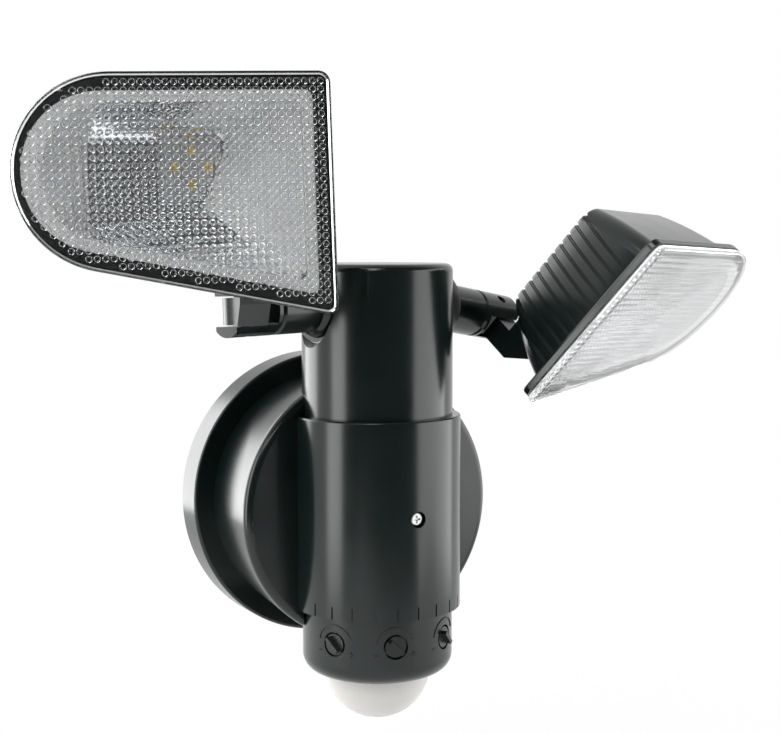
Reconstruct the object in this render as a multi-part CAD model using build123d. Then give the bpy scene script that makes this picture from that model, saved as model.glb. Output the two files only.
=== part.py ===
from build123d import *
import os
from math import cos, radians, sin, tan

# Wall-mounted motion sensor light with two swivelling lamp heads.
# Millimetres and degrees. The wall is the plane Y = 0, the front looks along -Y, +Z is up.
# The origin is the centre of the wall plate's back face.

os.makedirs("parts", exist_ok=True)

# ---------------------------------------------------------------- driving dimensions

FIT = 0.05            # radial clearance of a shaft or ball that turns
GAP = 0.3             # clearance between pieces that only pass each other

# wall plate
PLATE_R = 59.8
PLATE_DEPTH = 13.9
PLATE_FLOOR = 2.6
PLATE_RIM = 9.6
PLATE_LIP = 2.6
GASKET_T = 3.0
INLET_R = 9.0
GROMMET_BORE_R = 4.0
GROMMET_LIP = 2.0
WALL_HOLE_PITCH = 88.9
WALL_HOLE_R = 2.4
WALL_BOSS_R = 5.4
PLATE_SCREW_PCD_R = 33.0
PLATE_SCREW_COUNT = 3
PLATE_SCREW_TURN = 90.0

# drum in front of the wall plate
DRUM_R_BACK = 51.4
DRUM_R_FRONT = 55.1
DRUM_FACE = 54.8      # distance of its front face from the wall
DRUM_WALL = 2.5
DRUM_EDGE = 3.0
DRUM_BOSS_R = 4.4
WIRE_SLOT_W = 30.0
WIRE_SLOT_H = 40.0

# column
COLUMN_Y = 60.0       # distance of the column's axis from the wall
HUB_R = 30.0
HUB_WALL = 3.0
HUB_TOP = 98.0
HUB_EDGE = 3.0
HUB_SCREW_LOW = 60.0
HUB_SCREW_HIGH = 92.0
HUB_BOSS_R = 4.2
SHELL_R = 33.2
SHELL_WALL = 2.4
SHELL_TOP = 38.4
SHELL_BOTTOM = -38.3
SHELL_EDGE = 0.8
SHELL_LIP_R = 26.0
SHELL_SCREW_Z = 0.7
SHELL_SCREW_RECESS_R = 3.2
SHELL_POCKET_WALL = 1.6
TICK_COUNT = 11
TICK_PITCH = 15.0
TICK_H = 5.0
TICK_W = 0.7
TICK_DEPTH = 0.5
CHASSIS_T = 3.0
CHASSIS_W = 50.0
CHASSIS_POST_R = 4.6
WIRE_HOLE_R = 9.0
HUB_FLOOR_SCREW_X = 16.0
HUB_FLOOR_SCREW_Y = 8.0
BEARING_R = 20.0
BEARING_T = 4.0
BEARING_WALL = 2.5
RETAINER_R = 22.5
RETAINER_T = 1.2

# sensor ring under the column
RING_BOTTOM = -64.8
RING_WALL = 2.4
RING_EDGE = 7.0
RING_TURN = -14.5     # how far the ring is turned in the stored pose
DOME_R = 21.2
DOME_Z = -63.6
DOME_WALL = 1.2
DOME_FLANGE_R = 22.6
DOME_FLANGE_T = 1.2
KNOB_SPREAD = 48.0
KNOB_Z = -48.9
KNOB_R = 4.1
KNOB_ROOM = 0.8       # gap round a knob in its recess
KNOB_SHAFT_R = 1.5
KNOB_HEAD_T = 2.2
KNOB_SUNK = 0.3
KNOB_BLADE_W = 1.5
KNOB_BLADE_PROUD = 2.4
KNOB_TILT = -45.0      # turn of each knob's blade in the stored pose
POT_SEAT = 5.6        # distance of a potentiometer's front from the ring's outside
POT_SIZE = 8.0
POT_DEPTH = 5.0
SENSOR_BOARD_Z = -60.0
SENSOR_BOARD_T = 1.6
SENSOR_BOARD_R = 25.4
POST_COUNT = 3
POST_R = 1.5
POST_PCD_R = 24.7
PYRO_R = 4.6
PYRO_H = 5.0

# ball joints and arms
BALL_X = 23.0         # distance of a ball's centre from the column's middle plane
BALL_Z = 81.5
BALL_R = 13.0
SEAT_T = 1.6
SEAT_MOUTH = 72.0     # half angle of the seat's opening
SOCKET_T = 2.6
ARM_R = 9.7
ARM_SEAM = 27.0       # from the ball's centre to the seam between the two arm pieces
SEAM_GAP = 0.3
SEAM_CHAMFER = 0.8
SPIGOT_R = 6.0
SPIGOT_L = 11.0
KNUCKLE_X = 39.0      # from the ball's centre to the knuckle pin
EYE_R = 8.0
EYE_T = 10.0
FORK_GAP = 1.3
TINE_REACH = 8.6
TINE_SLANT = 18.0
PIN_R = 2.0

# stored pose of each side: down, forward, roll of the outer arm, outward turn of the head
LEFT_REST = (0.8, 13.5, -2.1, 29.0)
RIGHT_REST = (9.3, -17.7, 41.2, 11.2)

# lamp head, in its own frame: u from the straight end outwards, v up, w back from the lens
HEAD_H = 83.4
HEAD_W = 107.2
HEAD_TAPER = 12.5     # slope of the bottom edge
HEAD_CORNER = 4.0
LENS_T = 2.6
LENS_GASKET_T = 0.8
GASKET_OUT = 0.8
GASKET_IN = 6.7
RIM_T = 2.9
BOWL_INSET = 3.6      # bowl against the rim, at the rim
BOWL_MID_INSET = 7.3
BOWL_BACK_INSET = 13.3
OPENING_INSET = 9.7   # opening in the rim, behind the lens
OPENING_CORNER = 4.4
BOWL_MID_W = 23.0
HEAD_DEPTH = 39.7
BOWL_WALL = 2.6
BOWL_CORNER = 7.0
BOWL_EDGE = 3.0
GROOVE_COUNT = 11
GROOVE_PITCH = 5.0
GROOVE_W = 2.4
GROOVE_DEPTH = 1.2
GROOVE_BAND = 1.2     # smooth band between the rim and the grooves
GROOVE_WRAP = 7.0     # how far the grooves run onto the back
SPREADER_T = 6.0
SPREADER_INSET = 22.5
LED_BOARD_T = 1.6
LED_BOARD_INSET = 24.0
LED_SIZE = 3.5
LED_T = 0.8
LED_PITCH = 5.6
LED_U = 45.0          # centre of the chips' diamond
LED_V = 11.6
FLOOR_SHIFT_U = -5.0  # the light board and the reflector's floor sit off the head's middle
FLOOR_SHIFT_V = 4.0
REFLECTOR_T = 0.8
REFLECTOR_FLOOR_INSET = 25.5
FLOOR_CORNER = 3.0
LENS_EDGE = 0.8
KNUCKLE_U = 26.0
KNUCKLE_V = -40.0
KNUCKLE_W = 49.0
WEB_W = 11.0
WEB_REACH = 14.0
BACK_SCREW_R = 1.5
BACK_SCREW_HEAD_R = 2.9

# electronics and fasteners
DRIVER_W = 58.0
DRIVER_H = 46.0
DRIVER_Z = -4.0
DRIVER_BACK = 27.9    # distance of the driver board's back from the wall
STANDOFF_R = 3.0
SCREW_BITE = 12.0     # depth of a screw's hole in plastic
BOARD_T = 1.6
TERMINAL_W = 24.0
TERMINAL_H = 14.0
TERMINAL_D = 11.0
SCREW_R = 1.5
SCREW_HEAD_R = 2.9
SCREW_HEAD_T = 1.8
CROSS_W = 0.7
CROSS_L = 3.0
CROSS_DEPTH = 0.9

# ---------------------------------------------------------------- values that follow

RIM_BACK = LENS_T + LENS_GASKET_T + RIM_T
RIM_FRONT = LENS_T + LENS_GASKET_T
PLATE_FRONT_Y = -PLATE_DEPTH
FLOOR_Y = PLATE_FLOOR - PLATE_DEPTH
SEAT_R = BALL_R + FIT + SEAT_T
SOCKET_R = SEAT_R + FIT
SPREADER_BACK = HEAD_DEPTH - BOWL_WALL
LED_BOARD_BACK = SPREADER_BACK - SPREADER_T
LED_BOARD_FRONT = LED_BOARD_BACK - LED_BOARD_T
RING_TOP = SHELL_BOTTOM - GAP
BEARING_END = RING_TOP - RING_WALL - GAP

parts = {}


def add(name, solid):
    """Keep one piece under its node's name."""
    parts[name] = solid


def column(item):
    """Move a piece made about the origin onto the column's axis."""
    return Pos(0, -COLUMN_Y, 0) * item


def turned_y(points):
    """Turned piece about Y, from points (radius, y)."""
    return revolve(make_face(Polyline(*points, close=True)), Axis.Y, 360)


def rod(radius, start, end):
    """Round rod between two points."""
    a = Vector(*start)
    b = Vector(*end)
    length = (b - a).length
    solid = Cylinder(radius, length, align=(Align.CENTER, Align.CENTER, Align.MIN))
    return Plane(origin=a, z_dir=b - a) * solid


def block(x0, x1, y0, y1, z0, z1):
    """Box between two corners."""
    low = (min(x0, x1), min(y0, y1), min(z0, z1))
    box = Box(abs(x1 - x0), abs(y1 - y0), abs(z1 - z0), align=(Align.MIN, Align.MIN, Align.MIN))
    return Pos(*low) * box


def screw(head, tip, head_r=SCREW_HEAD_R, shank_r=SCREW_R):
    """Pan-head screw with a cross recess; head is the top of its head, tip the end of its shank."""
    a = Vector(*head)
    b = Vector(*tip)
    length = (b - a).length
    cap = Cylinder(head_r, SCREW_HEAD_T, align=(Align.CENTER, Align.CENTER, Align.MIN))
    cap = fillet(cap.edges().group_by(Axis.Z)[0], SCREW_HEAD_T * 0.4)
    shank = Cylinder(shank_r, length, align=(Align.CENTER, Align.CENTER, Align.MIN))
    for turn in (0, 90):
        slot = Box(CROSS_L, CROSS_W, 2 * CROSS_DEPTH)
        cap = cap - Rot(Z=turn) * slot
        shank = shank - Rot(Z=turn) * slot
    return Plane(origin=a, z_dir=b - a) * (cap + shank)


# ---------------------------------------------------------------- wall plate and drum

def standoff_places():
    """Stand-offs that carry the driver board, as (x, z)."""
    return [(side * (DRIVER_W / 2 - 5), DRIVER_Z + DRIVER_H / 2 - 5) for side in (-1, 1)]


def chassis_screw_places():
    """Screws that hold the column's frame to the drum's face, as (x, z)."""
    places = []
    for x in (-1, 1):
        for z in (-1, 1):
            places.append((x * (WIRE_SLOT_W / 2 + 5), z * (WIRE_SLOT_H / 2 - 4)))
    return places


def plate_screw_places():
    """Centres of the screws that hold the drum to the plate, as (x, z)."""
    places = []
    for i in range(PLATE_SCREW_COUNT):
        turn = radians(PLATE_SCREW_TURN + i * 360.0 / PLATE_SCREW_COUNT)
        places.append((PLATE_SCREW_PCD_R * cos(turn), PLATE_SCREW_PCD_R * sin(turn)))
    return places


def wall_plate():
    """Round pan with a rebate for its gasket and a boss for each wall screw."""
    rim_in = PLATE_R - PLATE_RIM
    lip_in = PLATE_R - PLATE_LIP
    pan = turned_y([
        (INLET_R, FLOOR_Y), (rim_in, FLOOR_Y), (rim_in, -GASKET_T), (lip_in, -GASKET_T), (lip_in, 0),
        (PLATE_R, 0), (PLATE_R, PLATE_FRONT_Y), (INLET_R, PLATE_FRONT_Y),
    ])
    pan = fillet(pan.edges().filter_by(GeomType.CIRCLE).group_by(Axis.Y)[0].sort_by(SortBy.RADIUS)[-1], 1.2)
    for side in (-1, 1):
        x = side * WALL_HOLE_PITCH / 2
        pan = pan + rod(WALL_BOSS_R, (x, 0, 0), (x, FLOOR_Y, 0))
        pan = pan - rod(WALL_HOLE_R, (x, 1, 0), (x, PLATE_FRONT_Y - 1, 0))
    for x, z in plate_screw_places():
        pan = pan - rod(SCREW_R + GAP, (x, 1, z), (x, PLATE_FRONT_Y - 1, z))
    return pan


def wall_gasket():
    """Flat foam ring in the plate's rebate."""
    inner = PLATE_R - PLATE_RIM + GAP
    outer = PLATE_R - PLATE_LIP - GAP
    return turned_y([(inner, 0), (outer, 0), (outer, -GASKET_T), (inner, -GASKET_T)])


def cable_grommet():
    """Rubber grommet in the plate's cable inlet."""
    neck = INLET_R - FIT
    lip = INLET_R + GROMMET_LIP
    return turned_y([
        (GROMMET_BORE_R, FLOOR_Y + GROMMET_LIP), (lip, FLOOR_Y + GROMMET_LIP),
        (lip, FLOOR_Y), (neck, FLOOR_Y),
        (neck, PLATE_FRONT_Y), (lip, PLATE_FRONT_Y), (lip, PLATE_FRONT_Y - GROMMET_LIP),
        (GROMMET_BORE_R, PLATE_FRONT_Y - GROMMET_LIP),
    ])


def drum_cone(grow, back, front):
    """Solid cone of the drum, grown by an amount, between two distances from the wall."""
    slope = (DRUM_R_FRONT - DRUM_R_BACK) / (DRUM_FACE - PLATE_DEPTH)
    r_back = DRUM_R_BACK + (back - PLATE_DEPTH) * slope + grow
    r_front = DRUM_R_BACK + (front - PLATE_DEPTH) * slope + grow
    return turned_y([(0, -back), (r_back, -back), (r_front, -front), (0, -front)])


def drum_pocket(grow):
    """Room in the drum for the back of the hub and of the sensor ring."""
    tall = 2 * PLATE_R
    hub_room = rod(HUB_R + FIT + grow, (0, -COLUMN_Y, SHELL_TOP - grow), (0, -COLUMN_Y, tall))
    ring_room = rod(HUB_R + 2 * GAP + grow, (0, -COLUMN_Y, SHELL_BOTTOM + grow), (0, -COLUMN_Y, -tall))
    return hub_room + ring_room


def base_drum():
    """Moulded drum, open at the back, hollowed round the column's pockets."""
    outer = drum_cone(0, PLATE_DEPTH, DRUM_FACE)
    front = outer.edges().filter_by(GeomType.CIRCLE).group_by(Axis.Y)[0]
    outer = fillet(front, DRUM_EDGE) - drum_pocket(0)
    inner = drum_cone(-DRUM_WALL, PLATE_DEPTH - 1, DRUM_FACE - DRUM_WALL) - drum_pocket(DRUM_WALL)
    shell = outer - inner
    wall_middle = DRUM_WALL / 2 - DRUM_FACE
    for x, z in plate_screw_places():
        shell = shell + rod(DRUM_BOSS_R, (x, PLATE_FRONT_Y, z), (x, wall_middle, z))
        shell = shell - rod(SCREW_R + FIT, (x, PLATE_FRONT_Y + 1, z), (x, PLATE_FRONT_Y - SCREW_BITE, z))
    for x, z in standoff_places():
        shell = shell + rod(STANDOFF_R, (x, -DRIVER_BACK - BOARD_T, z), (x, wall_middle, z))
    for x, z in chassis_screw_places():
        shell = shell - rod(SCREW_R + FIT, (x, -DRUM_FACE - 1, z), (x, DRUM_WALL + 1 - DRUM_FACE, z))
    slot = block(-WIRE_SLOT_W / 2, WIRE_SLOT_W / 2, 1 - DRUM_FACE - DRUM_WALL, DRUM_WALL + 1 - DRUM_FACE,
                 -WIRE_SLOT_H / 2, WIRE_SLOT_H / 2)
    return shell - slot


def plate_screws():
    """Screws from the plate into the drum's bosses."""
    group = []
    for x, z in plate_screw_places():
        group.append(screw((x, FLOOR_Y + SCREW_HEAD_T, z), (x, PLATE_FRONT_Y - SCREW_BITE + 1, z)))
    return Compound(children=group)


def driver_board():
    """Power supply board with its transformer and inductor, on the drum's stand-offs."""
    front = -DRIVER_BACK - BOARD_T
    low = DRIVER_Z - DRIVER_H / 2
    board = block(-DRIVER_W / 2, DRIVER_W / 2, -DRIVER_BACK, front, low, low + DRIVER_H)
    for x, z in plate_screw_places():
        board = board - rod(DRUM_BOSS_R + GAP, (x, 1 - DRIVER_BACK, z), (x, front - 1, z))
    transformer = block(-24, -4, front, front - 14, DRIVER_Z - 16, DRIVER_Z + 2)
    inductor = rod(5.5, (10, front, DRIVER_Z - 14), (10, front - 12, DRIVER_Z - 14))
    return board + transformer + inductor


def driver_capacitor():
    """Smoothing capacitor that stands on the driver board."""
    front = -DRIVER_BACK - BOARD_T
    return rod(7.0, (12, front, DRIVER_Z + 8), (12, front - 16, DRIVER_Z + 8))


def terminal_block():
    """Three-way terminal block on the back of the driver board."""
    back = -DRIVER_BACK
    z = DRIVER_Z + 4
    body = block(-TERMINAL_W / 2, TERMINAL_W / 2, back, back + TERMINAL_D, z, z + TERMINAL_H)
    for i in (-1, 0, 1):
        x = i * TERMINAL_W / 3
        mid_z = z + TERMINAL_H / 2
        body = body - rod(2.2, (x, back + TERMINAL_D + 1, mid_z), (x, back + 3, mid_z))
    return body


# ---------------------------------------------------------------- column

def hub_solid():
    """Whole upper column with both ball sockets, before it is split into its two halves."""
    outer = rod(HUB_R, (0, 0, SHELL_TOP), (0, 0, HUB_TOP))
    outer = fillet(outer.edges().group_by(Axis.Z)[-1], HUB_EDGE)
    inner = rod(HUB_R - HUB_WALL, (0, 0, SHELL_TOP + HUB_WALL), (0, 0, HUB_TOP - HUB_WALL))
    hub = outer - inner
    for z in (HUB_SCREW_LOW, HUB_SCREW_HIGH):
        hub = hub + rod(HUB_BOSS_R, (0, 1 - HUB_R, z), (0, HUB_R - 1, z))
    for side in (-1, 1):
        centre = Pos(side * BALL_X, 0, BALL_Z)
        room = rod(HUB_R - 0.5, (0, 0, SHELL_TOP), (0, 0, HUB_TOP - 1))
        socket = centre * Sphere(SOCKET_R + SOCKET_T) & room
        hub = hub + socket
    for side in (-1, 1):
        centre = Pos(side * BALL_X, 0, BALL_Z)
        hub = hub - centre * Sphere(SOCKET_R)
        hub = hub - centre * mouth_cone(side)
    hub = hub - rod(WIRE_HOLE_R, (0, 0, SHELL_TOP - 1), (0, 0, SHELL_TOP + HUB_WALL + 1))
    return hub


def mouth_cone(side):
    """Flare at a socket's mouth that the tilted arm swings into."""
    start = SOCKET_R * cos(radians(SEAT_MOUTH))
    r_start = SOCKET_R * sin(radians(SEAT_MOUTH)) + 0.2
    reach = HUB_R - BALL_X + 2.0
    r_end = r_start + (reach - start) * 0.75
    cone = Cone(r_start, r_end, reach - start, align=(Align.CENTER, Align.CENTER, Align.MIN))
    return Plane(origin=(side * start, 0, 0), z_dir=(side, 0, 0)) * cone


def hub_halves():
    """Front and rear half of the hub, split through both balls."""
    whole = hub_solid()
    tall = 2 * HUB_TOP
    front = whole & block(-tall, tall, -tall, 0, -tall, tall)
    rear = whole & block(-tall, tall, 0, tall, -tall, tall)
    seat_y = HUB_R - 4.0
    for z in (HUB_SCREW_LOW, HUB_SCREW_HIGH):
        rear = rear - rod(SCREW_R + GAP, (0, -1, z), (0, HUB_R + 1, z))
        rear = rear - rod(SCREW_HEAD_R + GAP, (0, seat_y, z), (0, HUB_R + 1, z))
        front = front - rod(SCREW_R + FIT, (0, 1, z), (0, 7 - HUB_R, z))
    for x, y in hub_floor_places():
        front = front - rod(SCREW_R + FIT, (x, y, SHELL_TOP - 1), (x, y, SHELL_TOP + HUB_WALL + 1))
    return column(front), column(rear)


def hub_screws():
    """Screws that pull the hub's halves together from behind."""
    seat_y = HUB_R - 4.0
    group = []
    for z in (HUB_SCREW_LOW, HUB_SCREW_HIGH):
        group.append(column(screw((0, seat_y + SCREW_HEAD_T, z), (0, 9 - HUB_R, z))))
    return Compound(children=group)


def front_shell():
    """Half-round front cover, from the ledge under the hub down to the sensor ring."""
    half = (SHELL_TOP - SHELL_BOTTOM) / 2
    outer = rod(SHELL_R, (0, 0, SHELL_BOTTOM), (0, 0, SHELL_TOP))
    outer = fillet(outer.edges().group_by(Axis.Z)[-1], SHELL_EDGE)
    inner = rod(SHELL_R - SHELL_WALL, (0, 0, SHELL_BOTTOM + SHELL_WALL), (0, 0, SHELL_TOP - SHELL_WALL))
    bores = rod(SHELL_LIP_R, (0, 0, SHELL_BOTTOM - 1), (0, 0, SHELL_TOP + 1))
    shell = outer - inner - bores
    face = COLUMN_Y - DRUM_FACE
    shell = shell & block(-2 * half, 2 * half, -2 * half, face, -2 * half, 2 * half)
    pocket_y = SHELL_SCREW_RECESS_R - SHELL_R
    cup_r = SHELL_SCREW_RECESS_R + SHELL_POCKET_WALL
    cup_end = pocket_y + SHELL_POCKET_WALL
    shell = shell + rod(cup_r, (0, SHELL_WALL / 2 - SHELL_R, SHELL_SCREW_Z), (0, cup_end, SHELL_SCREW_Z))
    shell = shell - rod(SHELL_SCREW_RECESS_R, (0, -SHELL_R - 1, SHELL_SCREW_Z), (0, pocket_y, SHELL_SCREW_Z))
    shell = shell - rod(SCREW_R + GAP, (0, -SHELL_R - 1, SHELL_SCREW_Z), (0, 0, SHELL_SCREW_Z))
    for i in range(TICK_COUNT):
        turn = (i - (TICK_COUNT - 1) / 2) * TICK_PITCH
        tick_top = SHELL_BOTTOM + TICK_H
        tick = block(-TICK_W / 2, TICK_W / 2, -SHELL_R - 1, TICK_DEPTH - SHELL_R, SHELL_BOTTOM - 1, tick_top)
        shell = shell - Rot(Z=turn) * tick
    return column(shell)


def shell_screw():
    """Screw in the front cover's recess."""
    pocket_y = SHELL_SCREW_RECESS_R - SHELL_R
    head = (0, pocket_y - SCREW_HEAD_T, SHELL_SCREW_Z)
    return column(screw(head, (0, pocket_y + 10.0, SHELL_SCREW_Z), 2.7))


def chassis():
    """Frame behind the front cover: back plate, screw post, hub flange and the sensor ring's bearing."""
    back = COLUMN_Y - DRUM_FACE
    low = SHELL_BOTTOM + SHELL_WALL
    high = SHELL_TOP
    slot = WIRE_SLOT_W / 2
    frame = block(-CHASSIS_W / 2, CHASSIS_W / 2, back - CHASSIS_T, back, low, high)
    frame = frame - block(-slot, slot, back - CHASSIS_T - 1, back + 1, -WIRE_SLOT_H / 2, WIRE_SLOT_H / 2)
    rim = SHELL_LIP_R - GAP
    flange = rod(rim, (0, 0, high - CHASSIS_T), (0, 0, high))
    flange = flange - rod(WIRE_HOLE_R, (0, 0, low), (0, 0, high + 1))
    bearing = rod(rim, (0, 0, low), (0, 0, low + BEARING_T))
    bearing = bearing + rod(BEARING_R, (0, 0, SHELL_BOTTOM), (0, 0, low + 1))
    front_only = block(-2 * rim, 2 * rim, -2 * rim, back, 2 * low, 2 * high)
    tube = rod(BEARING_R, (0, 0, BEARING_END), (0, 0, SHELL_BOTTOM))
    post_start = SHELL_SCREW_RECESS_R - SHELL_R + SHELL_POCKET_WALL
    post = rod(CHASSIS_POST_R, (0, post_start, SHELL_SCREW_Z), (0, post_start + SCREW_BITE, SHELL_SCREW_Z))
    arm_y = post_start + SCREW_BITE
    arm = block(-CHASSIS_POST_R, CHASSIS_POST_R, arm_y - 4, arm_y, SHELL_SCREW_Z - 3, high - CHASSIS_T / 2)
    frame = frame + (flange & front_only) + (bearing & front_only) + tube + post + arm
    frame = frame - rod(BEARING_R - BEARING_WALL, (0, 0, 2 * low), (0, 0, low + BEARING_T + 1))
    frame = frame - rod(SCREW_R + FIT, (0, -SHELL_R, SHELL_SCREW_Z), (0, arm_y + 1, SHELL_SCREW_Z))
    for x, z in chassis_screw_places():
        frame = frame - rod(SCREW_R + GAP, (x, back - CHASSIS_T - 1, z), (x, back + 1, z))
    for x, y in hub_floor_places():
        frame = frame - rod(SCREW_R + GAP, (x, y, high - CHASSIS_T - 1), (x, y, high + 1))
    return column(frame)


def ring_retainer():
    """Washer under the bearing tube that keeps the sensor ring on it."""
    washer = rod(RETAINER_R, (0, 0, BEARING_END - RETAINER_T), (0, 0, BEARING_END))
    return column(washer - rod(BEARING_R - BEARING_WALL, (0, 0, 2 * BEARING_END), (0, 0, 0)))


def chassis_screws():
    """Screws that hold the frame's back plate to the drum's face."""
    seat = -DRUM_FACE - CHASSIS_T
    group = []
    for x, z in chassis_screw_places():
        group.append(screw((x, seat - SCREW_HEAD_T, z), (x, DRUM_WALL + 1 - DRUM_FACE, z)))
    return Compound(children=group)


def hub_floor_places():
    """Screws between the frame's flange and the hub's floor, as (x, y) from the column's axis."""
    return [(side * HUB_FLOOR_SCREW_X, -HUB_FLOOR_SCREW_Y) for side in (-1, 1)]


def hub_floor_screws():
    """Screws from the frame's flange up into the hub's floor."""
    head = SHELL_TOP - CHASSIS_T - SCREW_HEAD_T
    group = []
    for x, y in hub_floor_places():
        group.append(column(screw((x, y, head), (x, y, SHELL_TOP + HUB_WALL))))
    return Compound(children=group)


# ---------------------------------------------------------------- sensor ring

def ring_place(item):
    """Turn a piece with the sensor ring and put it on the column's axis."""
    return column(Rot(Z=RING_TURN) * item)


def knob_turns():
    """Angles of the three setting knobs round the ring."""
    return [(i - 1) * KNOB_SPREAD for i in range(3)]


def sensor_ring():
    """Turning cup with its bearing hole, the dome's opening, board posts and three knob recesses."""
    outer = rod(HUB_R, (0, 0, RING_BOTTOM), (0, 0, RING_TOP))
    outer = fillet(outer.edges().group_by(Axis.Z)[0], RING_EDGE)
    inner = rod(HUB_R - RING_WALL, (0, 0, RING_BOTTOM + RING_WALL), (0, 0, RING_TOP - RING_WALL))
    inner = fillet(inner.edges().group_by(Axis.Z)[0], RING_EDGE - RING_WALL)
    cup = outer - inner - rod(BEARING_R + FIT, (0, 0, RING_TOP - RING_WALL - 1), (0, 0, RING_TOP + 1))
    for i in range(POST_COUNT):
        turn = radians(i * 360.0 / POST_COUNT)
        x = POST_PCD_R * cos(turn)
        y = POST_PCD_R * sin(turn)
        cup = cup + rod(POST_R, (x, y, RING_BOTTOM + RING_WALL / 2), (x, y, SENSOR_BOARD_Z))
    cup = cup - rod(DOME_R + FIT, (0, 0, RING_BOTTOM - 1), (0, 0, RING_BOTTOM + RING_WALL + 1))
    for turn in knob_turns():
        recess = KNOB_HEAD_T + 0.2 + KNOB_SUNK
        well = KNOB_R + KNOB_ROOM
        wall = rod(well + 1.6, (0, -HUB_R + 1.2, KNOB_Z), (0, recess + 1.6 - HUB_R, KNOB_Z))
        cup = cup + Rot(Z=turn) * wall
        cup = cup - Rot(Z=turn) * rod(well, (0, -HUB_R - 2, KNOB_Z), (0, recess - HUB_R, KNOB_Z))
        cup = cup - Rot(Z=turn) * rod(KNOB_SHAFT_R + FIT, (0, -HUB_R, KNOB_Z), (0, 8 - HUB_R, KNOB_Z))
    return ring_place(cup)


def knob(turn):
    """Small setting knob with a finger blade and its shaft."""
    head_front = KNOB_SUNK - HUB_R
    head_back = head_front + KNOB_HEAD_T
    head = rod(KNOB_R, (0, head_back, KNOB_Z), (0, head_front, KNOB_Z))
    half = KNOB_R * 0.86
    inside = head_back - 0.2
    blade_front = head_front - KNOB_BLADE_PROUD
    blade = block(-KNOB_BLADE_W / 2, KNOB_BLADE_W / 2, blade_front, inside, KNOB_Z - half, KNOB_Z + half)
    shaft = rod(KNOB_SHAFT_R, (0, inside, KNOB_Z), (0, POT_SEAT - 0.2 - HUB_R, KNOB_Z))
    about = Pos(0, 0, KNOB_Z) * Rot(Y=KNOB_TILT) * Pos(0, 0, -KNOB_Z)
    return ring_place(Rot(Z=turn) * about * (head + blade + shaft))


def potentiometers():
    """Setting potentiometers behind the knobs, on the sensor board."""
    group = []
    low = SENSOR_BOARD_Z + SENSOR_BOARD_T
    high = KNOB_Z + POT_SIZE / 2
    front = POT_SEAT - HUB_R
    for turn in knob_turns():
        body = block(-POT_SIZE / 2, POT_SIZE / 2, front, front + POT_DEPTH, low, high)
        group.append(ring_place(Rot(Z=turn) * body))
    return Compound(children=group)


def sensor_board():
    """Round board that carries the detector and the potentiometers."""
    board = rod(SENSOR_BOARD_R, (0, 0, SENSOR_BOARD_Z), (0, 0, SENSOR_BOARD_Z + SENSOR_BOARD_T))
    relay = block(-8, 8, 2, 14, SENSOR_BOARD_Z + SENSOR_BOARD_T, SENSOR_BOARD_Z + SENSOR_BOARD_T + 10)
    return ring_place(board + relay)


def pyro_sensor():
    """Heat detector can under the board, in the middle of the dome."""
    return ring_place(rod(PYRO_R, (0, 0, SENSOR_BOARD_Z), (0, 0, SENSOR_BOARD_Z - PYRO_H)))


def pir_dome():
    """Milky dome lens with the flange that holds it in the ring."""
    dome = Pos(0, 0, DOME_Z) * Sphere(DOME_R) - Pos(0, 0, DOME_Z) * Sphere(DOME_R - DOME_WALL)
    floor = RING_BOTTOM + RING_WALL
    keep = rod(2 * DOME_R, (0, 0, DOME_Z - 2 * DOME_R), (0, 0, floor))
    flange_top = floor + DOME_FLANGE_T
    flange = rod(DOME_FLANGE_R, (0, 0, floor), (0, 0, flange_top))
    flange = flange - rod(DOME_R - DOME_WALL - 0.6, (0, 0, floor - 1), (0, 0, flange_top + 1))
    return ring_place((dome & keep) + flange)


# ---------------------------------------------------------------- ball joints and arms

def side_chain(side, rest):
    """Locations of a side's seat, inner arm, outer arm and head in the stored pose; side is 1 or -1."""
    down, forward, roll, outward = rest
    seat = Pos(side * BALL_X, -COLUMN_Y, BALL_Z) * Rot(Z=-side * forward)
    inner = seat * Rot(Y=side * down)
    outer = inner * Rot(X=roll)
    head = outer * Pos(side * KNUCKLE_X, 0, 0) * Rot(Z=side * outward)
    return seat, inner, outer, head


def ball_seat():
    """Low-friction cup round the ball, open towards the arm."""
    cup = Sphere(SEAT_R) - Sphere(BALL_R + FIT)
    mouth_x = SEAT_R * cos(radians(SEAT_MOUTH))
    return cup & block(-2 * SEAT_R, mouth_x, -2 * SEAT_R, 2 * SEAT_R, -2 * SEAT_R, 2 * SEAT_R)


def inner_arm():
    """Ball with the first stretch of the arm, bored for the outer arm's spigot."""
    arm = Sphere(BALL_R) + rod(ARM_R, (BALL_R / 2, 0, 0), (ARM_SEAM, 0, 0))
    end = arm.edges().filter_by(GeomType.CIRCLE).sort_by(Axis.X)[-1]
    arm = chamfer(end, SEAM_CHAMFER)
    return arm - rod(SPIGOT_R + FIT, (ARM_SEAM - SPIGOT_L - 1.0, 0, 0), (ARM_SEAM + 1, 0, 0))


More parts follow.
